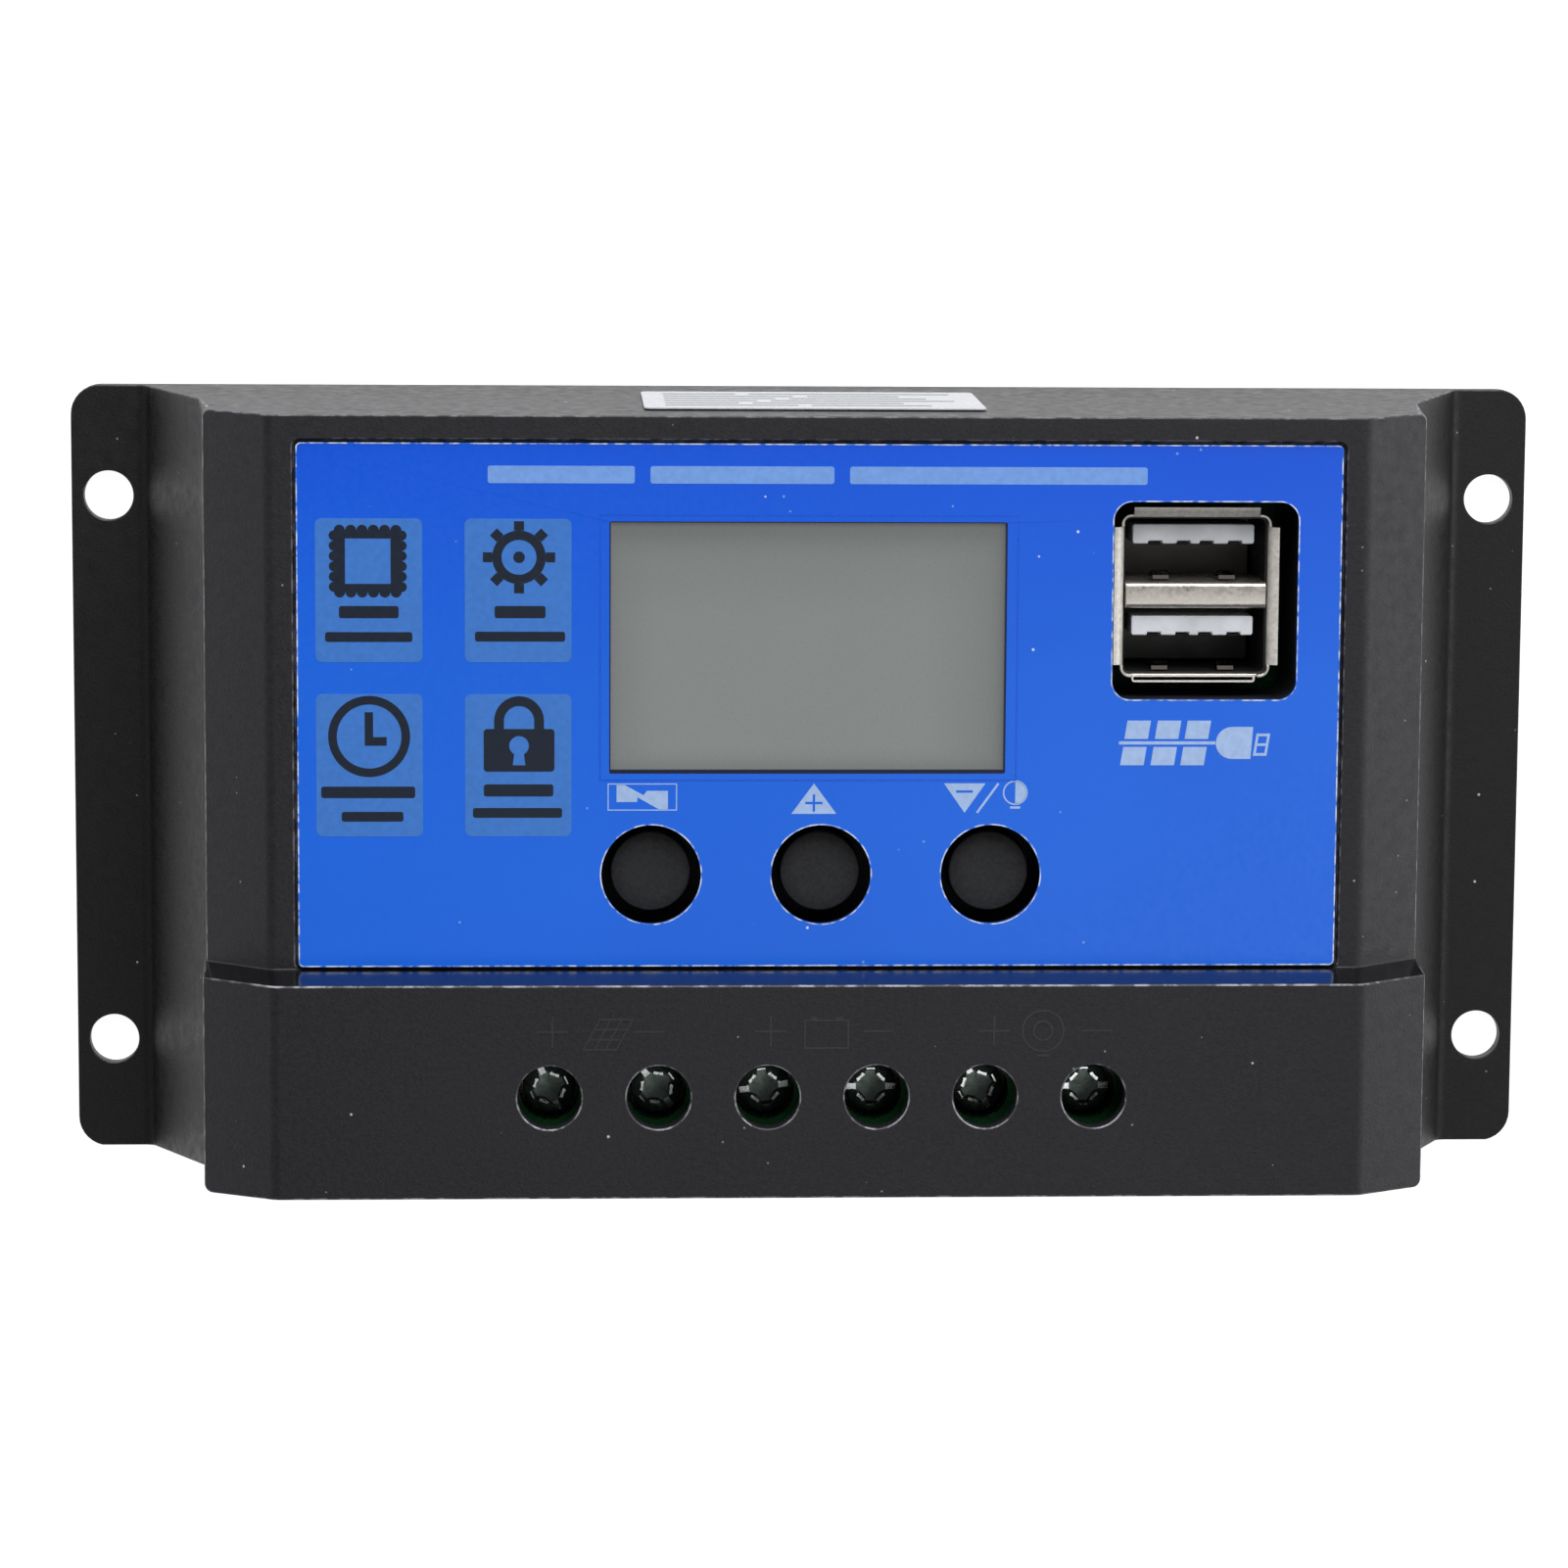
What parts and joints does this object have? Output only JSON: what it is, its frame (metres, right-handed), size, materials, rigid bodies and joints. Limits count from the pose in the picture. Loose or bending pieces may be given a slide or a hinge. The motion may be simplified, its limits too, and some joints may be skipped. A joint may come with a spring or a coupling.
{
  "type": "charge controller",
  "caption": "Box-shaped solar charge controller with side mounting flanges, a display panel, push buttons, stacked USB sockets and screw terminals.",
  "frame": {"origin": "middle of the footprint, on the plane of the mounting flanges' undersides", "axes": "+X along the case towards the USB side, +Y towards the sticker end (away from the wire entries), +Z out of the front face"},
  "size_m": [0.1334, 0.0704, 0.035],
  "materials": {
    "cover_plastic": "fine matt texture, black moulded ABS",
    "button_plastic": "smooth matt black",
    "overlay_film": "blue printed film, satin gloss",
    "sticker_paper": "white vinyl, greyed print bars",
    "display_glass": "grey-green liquid crystal panel",
    "milky_plastic": "white light guide",
    "black_resin": "moulded black resin",
    "terminal_plastic": "green moulded polyamide",
    "zinc_steel": "bright zinc-plated steel",
    "tinned_brass": "tin-plated brass",
    "usb_tin": "bright tin-plated sheet",
    "white_resin": "white moulded polyamide",
    "board_laminate": "green solder mask on glass laminate",
    "plate_aluminium": "brushed aluminium sheet",
    "silicone_pad": "grey silicone sheet",
    "can_sleeve": "black shrink sleeve"
  },
  "bodies": {
    "case": {"front_cover": "cover_plastic", "label_overlay": "overlay_film", "rating_sticker": "sticker_paper", "display_glass": "display_glass", "display_backlight": "milky_plastic", "display_holder": "black_resin", "display_pin_row": "tinned_brass", "usb_shell": "usb_tin", "usb_insulator": "white_resin", "circuit_board": "board_laminate", "back_plate": "plate_aluminium", "thermal_pad": "silicone_pad", "capacitor_1": "can_sleeve", "capacitor_2": "can_sleeve", "inductor": "black_resin", "microcontroller": "black_resin", "regulator_chip": "black_resin", "switch_body_1": "black_resin", "terminal_block_1": "terminal_plastic", "switch_body_2": "black_resin", "terminal_block_2": "terminal_plastic", "switch_body_3": "black_resin", "terminal_block_3": "terminal_plastic", "contact_bar_1": "tinned_brass", "contact_bar_2": "tinned_brass", "contact_bar_3": "tinned_brass", "contact_bar_4": "tinned_brass", "contact_bar_5": "tinned_brass", "contact_bar_6": "tinned_brass", "board_screw_1": "zinc_steel", "back_screw_1": "zinc_steel", "mosfet_1": "black_resin", "board_screw_2": "zinc_steel", "back_screw_2": "zinc_steel", "mosfet_2": "black_resin", "board_screw_3": "zinc_steel", "back_screw_3": "zinc_steel", "mosfet_3": "black_resin", "board_screw_4": "zinc_steel", "back_screw_4": "zinc_steel", "mosfet_4": "black_resin"},
    "button_1": {"button_cap_1": "button_plastic", "switch_stem_1": "button_plastic"},
    "button_2": {"button_cap_2": "button_plastic", "switch_stem_2": "button_plastic"},
    "button_3": {"button_cap_3": "button_plastic", "switch_stem_3": "button_plastic"},
    "screw_1": {"terminal_screw_1": "zinc_steel"},
    "screw_2": {"terminal_screw_2": "zinc_steel"},
    "screw_3": {"terminal_screw_3": "zinc_steel"},
    "screw_4": {"terminal_screw_4": "zinc_steel"},
    "screw_5": {"terminal_screw_5": "zinc_steel"},
    "screw_6": {"terminal_screw_6": "zinc_steel"},
    "clamp_1": {"clamp_cage_1": "tinned_brass"},
    "clamp_2": {"clamp_cage_2": "tinned_brass"},
    "clamp_3": {"clamp_cage_3": "tinned_brass"},
    "clamp_4": {"clamp_cage_4": "tinned_brass"},
    "clamp_5": {"clamp_cage_5": "tinned_brass"},
    "clamp_6": {"clamp_cage_6": "tinned_brass"}
  },
  "joints": [
    {"name": "button_press_1", "type": "slide", "parent": "case", "child": "button_1", "axis": [0, 0, -1], "range_m": [0, 0.00035], "stiffness_N_per_m": 2000},
    {"name": "button_press_2", "type": "slide", "parent": "case", "child": "button_2", "axis": [0, 0, -1], "range_m": [0, 0.00035], "stiffness_N_per_m": 2000},
    {"name": "button_press_3", "type": "slide", "parent": "case", "child": "button_3", "axis": [0, 0, -1], "range_m": [0, 0.00035], "stiffness_N_per_m": 2000},
    {"name": "screw_turn_1", "type": "hinge", "parent": "case", "child": "screw_1", "pos_m": [-0.02333, -0.025, 0.025], "axis": [0, 0, -1], "range_deg": [0, 1080]},
    {"name": "screw_turn_2", "type": "hinge", "parent": "case", "child": "screw_2", "pos_m": [-0.01393, -0.025, 0.025], "axis": [0, 0, -1], "range_deg": [0, 1080]},
    {"name": "screw_turn_3", "type": "hinge", "parent": "case", "child": "screw_3", "pos_m": [-0.00453, -0.025, 0.025], "axis": [0, 0, -1], "range_deg": [0, 1080]},
    {"name": "screw_turn_4", "type": "hinge", "parent": "case", "child": "screw_4", "pos_m": [0.00487, -0.025, 0.025], "axis": [0, 0, -1], "range_deg": [0, 1080]},
    {"name": "screw_turn_5", "type": "hinge", "parent": "case", "child": "screw_5", "pos_m": [0.01427, -0.025, 0.025], "axis": [0, 0, -1], "range_deg": [0, 1080]},
    {"name": "screw_turn_6", "type": "hinge", "parent": "case", "child": "screw_6", "pos_m": [0.02367, -0.025, 0.025], "axis": [0, 0, -1], "range_deg": [0, 1080]},
    {"name": "clamp_rise_1", "type": "slide", "parent": "case", "child": "clamp_1", "axis": [0, 0, 1], "range_m": [0, 0.0021]},
    {"name": "clamp_rise_2", "type": "slide", "parent": "case", "child": "clamp_2", "axis": [0, 0, 1], "range_m": [0, 0.0021]},
    {"name": "clamp_rise_3", "type": "slide", "parent": "case", "child": "clamp_3", "axis": [0, 0, 1], "range_m": [0, 0.0021]},
    {"name": "clamp_rise_4", "type": "slide", "parent": "case", "child": "clamp_4", "axis": [0, 0, 1], "range_m": [0, 0.0021]},
    {"name": "clamp_rise_5", "type": "slide", "parent": "case", "child": "clamp_5", "axis": [0, 0, 1], "range_m": [0, 0.0021]},
    {"name": "clamp_rise_6", "type": "slide", "parent": "case", "child": "clamp_6", "axis": [0, 0, 1], "range_m": [0, 0.0021]}
  ],
  "couplings": [
    {"joint": "screw_turn_1", "follows": "clamp_rise_1", "rad_per_m": 8976},
    {"joint": "screw_turn_2", "follows": "clamp_rise_2", "rad_per_m": 8976},
    {"joint": "screw_turn_3", "follows": "clamp_rise_3", "rad_per_m": 8976},
    {"joint": "screw_turn_4", "follows": "clamp_rise_4", "rad_per_m": 8976},
    {"joint": "screw_turn_5", "follows": "clamp_rise_5", "rad_per_m": 8976},
    {"joint": "screw_turn_6", "follows": "clamp_rise_6", "rad_per_m": 8976}
  ]
}
